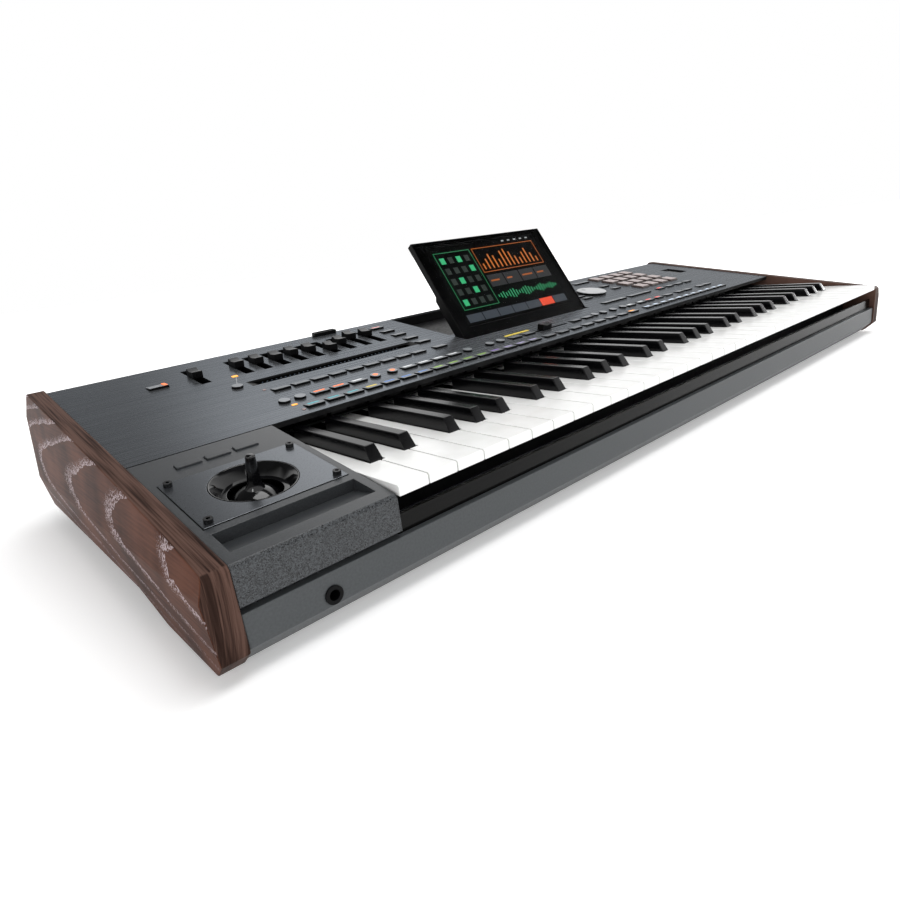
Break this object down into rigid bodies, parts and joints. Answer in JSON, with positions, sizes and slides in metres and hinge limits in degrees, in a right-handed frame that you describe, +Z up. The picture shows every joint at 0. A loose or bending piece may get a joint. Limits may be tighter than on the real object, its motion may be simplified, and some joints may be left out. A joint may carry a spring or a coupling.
{
  "type": "arranger keyboard",
  "caption": "Arranger keyboard with full-size keys, sloping brushed panel of lit buttons and sliders, joystick block, folding colour screen and wooden end cheeks.",
  "frame": {"origin": "on the floor below the middle of the instrument's outline", "axes": "+X to the player's right along the keys, +Y to the rear, +Z up"},
  "size_m": [0.998, 0.375, 0.199],
  "materials": {
    "grey_plastic": "fine spatter texture",
    "black_plastic": "satin",
    "gloss_black": "polished",
    "brushed_panel": "brushed, dark anodised",
    "satin_plate": "satin, dark anodised",
    "painted_steel": "satin paint",
    "bare_steel": "zinc plated",
    "black_steel": "black oxide",
    "stained_ash": "dark stain with limed grain",
    "white_key": "polished",
    "black_key": "satin",
    "grey_button": "satin with coloured marks",
    "pad_rubber": "pale, matt",
    "wheel_plastic": "satin silver",
    "cover_glass": "clear over a dark rim",
    "lcd": "lit colour display",
    "circuit_board": "solder mask",
    "foot_rubber": "matt"
  },
  "bodies": {
    "chassis": {"bottom_tray": "painted_steel", "rear_panel": "painted_steel", "top_panel": "brushed_panel", "left_cheek": "stained_ash", "right_cheek": "stained_ash", "front_rail": "painted_steel", "key_slip": "gloss_black", "control_block": "grey_plastic", "joystick_plate": "satin_plate", "joystick_bezel": "gloss_black", "joystick_base": "black_plastic", "plate_screws": "black_steel", "headphone_jack": "black_plastic", "screen_deck": "black_plastic", "screen_hinge_pins": "bare_steel", "display_windows": "gloss_black", "key_frame": "bare_steel", "key_pivot_rod": "bare_steel", "contact_board": "circuit_board", "main_board": "circuit_board", "panel_board": "circuit_board", "power_supply": "bare_steel", "slider_frames": "black_plastic", "rear_sockets": "black_plastic", "rubber_feet": "foot_rubber", "music_rest_clips": "black_plastic"},
    "c_keys": {"c_keys": "white_key"},
    "d_keys": {"d_keys": "white_key"},
    "e_keys": {"e_keys": "white_key"},
    "f_keys": {"f_keys": "white_key"},
    "g_keys": {"g_keys": "white_key"},
    "a_keys": {"a_keys": "white_key"},
    "b_keys": {"b_keys": "white_key"},
    "c_sharp_keys": {"c_sharp_keys": "black_key"},
    "d_sharp_keys": {"d_sharp_keys": "black_key"},
    "f_sharp_keys": {"f_sharp_keys": "black_key"},
    "g_sharp_keys": {"g_sharp_keys": "black_key"},
    "a_sharp_keys": {"a_sharp_keys": "black_key"},
    "master_slider": {"master_slider": "black_plastic"},
    "slider_1": {"slider_1": "black_plastic"},
    "slider_2": {"slider_2": "black_plastic"},
    "slider_3": {"slider_3": "black_plastic"},
    "slider_4": {"slider_4": "black_plastic"},
    "slider_5": {"slider_5": "black_plastic"},
    "slider_6": {"slider_6": "black_plastic"},
    "slider_7": {"slider_7": "black_plastic"},
    "slider_8": {"slider_8": "black_plastic"},
    "slider_9": {"slider_9": "black_plastic"},
    "crossfader": {"crossfader": "black_plastic"},
    "data_wheel": {"data_wheel": "wheel_plastic"},
    "front_row_buttons": {"front_row_buttons": "grey_button"},
    "panel_buttons": {"panel_buttons": "grey_button"},
    "round_buttons": {"round_buttons": "grey_button"},
    "number_pads": {"number_pads": "pad_rubber"},
    "assignable_switches": {"assignable_switches": "grey_plastic"},
    "joystick_gimbal": {"joystick_gimbal": "black_plastic"},
    "joystick_stick": {"joystick_stick": "gloss_black"},
    "screen": {"screen_shell": "black_plastic", "screen_glass": "cover_glass", "screen_display": "lcd"}
  },
  "joints": [
    {"name": "c_press", "type": "hinge", "parent": "chassis", "child": "c_keys", "pos_m": [0, 0.0285, 0.06], "axis": [1, 0, 0], "range_deg": [0, 2.8], "stiffness_Nm_per_rad": 2.4, "springref_deg": -5.73},
    {"name": "d_press", "type": "hinge", "parent": "chassis", "child": "d_keys", "pos_m": [0, 0.0285, 0.06], "axis": [1, 0, 0], "range_deg": [0, 2.8], "stiffness_Nm_per_rad": 2.4, "springref_deg": -5.73},
    {"name": "e_press", "type": "hinge", "parent": "chassis", "child": "e_keys", "pos_m": [0, 0.0285, 0.06], "axis": [1, 0, 0], "range_deg": [0, 2.8], "stiffness_Nm_per_rad": 2.4, "springref_deg": -5.73},
    {"name": "f_press", "type": "hinge", "parent": "chassis", "child": "f_keys", "pos_m": [0, 0.0285, 0.06], "axis": [1, 0, 0], "range_deg": [0, 2.8], "stiffness_Nm_per_rad": 2.4, "springref_deg": -5.73},
    {"name": "g_press", "type": "hinge", "parent": "chassis", "child": "g_keys", "pos_m": [0, 0.0285, 0.06], "axis": [1, 0, 0], "range_deg": [0, 2.8], "stiffness_Nm_per_rad": 2.4, "springref_deg": -5.73},
    {"name": "a_press", "type": "hinge", "parent": "chassis", "child": "a_keys", "pos_m": [0, 0.0285, 0.06], "axis": [1, 0, 0], "range_deg": [0, 2.8], "stiffness_Nm_per_rad": 2.4, "springref_deg": -5.73},
    {"name": "b_press", "type": "hinge", "parent": "chassis", "child": "b_keys", "pos_m": [0, 0.0285, 0.06], "axis": [1, 0, 0], "range_deg": [0, 2.8], "stiffness_Nm_per_rad": 2.4, "springref_deg": -5.73},
    {"name": "c_sharp_press", "type": "hinge", "parent": "chassis", "child": "c_sharp_keys", "pos_m": [0, 0.0285, 0.06], "axis": [1, 0, 0], "range_deg": [0, 2.8], "stiffness_Nm_per_rad": 1.2, "springref_deg": -5.73},
    {"name": "d_sharp_press", "type": "hinge", "parent": "chassis", "child": "d_sharp_keys", "pos_m": [0, 0.0285, 0.06], "axis": [1, 0, 0], "range_deg": [0, 2.8], "stiffness_Nm_per_rad": 1.2, "springref_deg": -5.73},
    {"name": "f_sharp_press", "type": "hinge", "parent": "chassis", "child": "f_sharp_keys", "pos_m": [0, 0.0285, 0.06], "axis": [1, 0, 0], "range_deg": [0, 2.8], "stiffness_Nm_per_rad": 1.2, "springref_deg": -5.73},
    {"name": "g_sharp_press", "type": "hinge", "parent": "chassis", "child": "g_sharp_keys", "pos_m": [0, 0.0285, 0.06], "axis": [1, 0, 0], "range_deg": [0, 2.8], "stiffness_Nm_per_rad": 1.2, "springref_deg": -5.73},
    {"name": "a_sharp_press", "type": "hinge", "parent": "chassis", "child": "a_sharp_keys", "pos_m": [0, 0.0285, 0.06], "axis": [1, 0, 0], "range_deg": [0, 2.8], "stiffness_Nm_per_rad": 1.2, "springref_deg": -5.73},
    {"name": "joystick_fore_aft", "type": "hinge", "parent": "chassis", "child": "joystick_gimbal", "pos_m": [-0.42615, -0.10887, 0.05174], "axis": [1, 0, 0], "range_deg": [-20, 20], "stiffness_Nm_per_rad": 0.06},
    {"name": "joystick_sideways", "type": "hinge", "parent": "joystick_gimbal", "child": "joystick_stick", "pos_m": [-0.42615, -0.10887, 0.05174], "axis": [0, 0.9885, 0.1513], "range_deg": [-20, 20], "stiffness_Nm_per_rad": 0.06},
    {"name": "screen_fold", "type": "hinge", "parent": "chassis", "child": "screen", "pos_m": [0, 0.03535, 0.09303], "axis": [1, 0, 0], "range_deg": [-47, 0]},
    {"name": "wheel_turn", "type": "hinge", "parent": "chassis", "child": "data_wheel", "pos_m": [0.1863, 0.08011, 0.10393], "axis": [0, -0.1513, 0.9885], "continuous": true},
    {"name": "master_slider_travel", "type": "slide", "parent": "chassis", "child": "master_slider", "axis": [0, 0.9885, 0.1513], "range_m": [-0.021, 0.019]},
    {"name": "slider_1_travel", "type": "slide", "parent": "chassis", "child": "slider_1", "axis": [0, 0.9885, 0.1513], "range_m": [-0.024, 0.016]},
    {"name": "slider_2_travel", "type": "slide", "parent": "chassis", "child": "slider_2", "axis": [0, 0.9885, 0.1513], "range_m": [-0.022, 0.018]},
    {"name": "slider_3_travel", "type": "slide", "parent": "chassis", "child": "slider_3", "axis": [0, 0.9885, 0.1513], "range_m": [-0.019, 0.021]},
    {"name": "slider_4_travel", "type": "slide", "parent": "chassis", "child": "slider_4", "axis": [0, 0.9885, 0.1513], "range_m": [-0.023, 0.017]},
    {"name": "slider_5_travel", "type": "slide", "parent": "chassis", "child": "slider_5", "axis": [0, 0.9885, 0.1513], "range_m": [-0.021, 0.019]},
    {"name": "slider_6_travel", "type": "slide", "parent": "chassis", "child": "slider_6", "axis": [0, 0.9885, 0.1513], "range_m": [-0.011, 0.029]},
    {"name": "slider_7_travel", "type": "slide", "parent": "chassis", "child": "slider_7", "axis": [0, 0.9885, 0.1513], "range_m": [-0.023, 0.017]},
    {"name": "slider_8_travel", "type": "slide", "parent": "chassis", "child": "slider_8", "axis": [0, 0.9885, 0.1513], "range_m": [-0.033, 0.007]},
    {"name": "slider_9_travel", "type": "slide", "parent": "chassis", "child": "slider_9", "axis": [0, 0.9885, 0.1513], "range_m": [-0.03, 0.01]},
    {"name": "crossfader_travel", "type": "slide", "parent": "chassis", "child": "crossfader", "axis": [1, 0, 0], "range_m": [-0.0096, 0.0344]},
    {"name": "front_row_buttons_press", "type": "slide", "parent": "chassis", "child": "front_row_buttons", "axis": [0, 0.1513, -0.9885], "range_m": [0, 0.001], "stiffness_N_per_m": 2500, "springref_m": -0.001},
    {"name": "panel_buttons_press", "type": "slide", "parent": "chassis", "child": "panel_buttons", "axis": [0, 0.1513, -0.9885], "range_m": [0, 0.001], "stiffness_N_per_m": 3000, "springref_m": -0.001},
    {"name": "round_buttons_press", "type": "slide", "parent": "chassis", "child": "round_buttons", "axis": [0, 0.1513, -0.9885], "range_m": [0, 0.001], "stiffness_N_per_m": 1500, "springref_m": -0.001},
    {"name": "number_pads_press", "type": "slide", "parent": "chassis", "child": "number_pads", "axis": [0, 0.1513, -0.9885], "range_m": [0, 0.001], "stiffness_N_per_m": 3500, "springref_m": -0.001},
    {"name": "assignable_switches_press", "type": "slide", "parent": "chassis", "child": "assignable_switches", "axis": [0, 0.1513, -0.9885], "range_m": [0, 0.0008], "stiffness_N_per_m": 1200, "springref_m": -0.001}
  ]
}
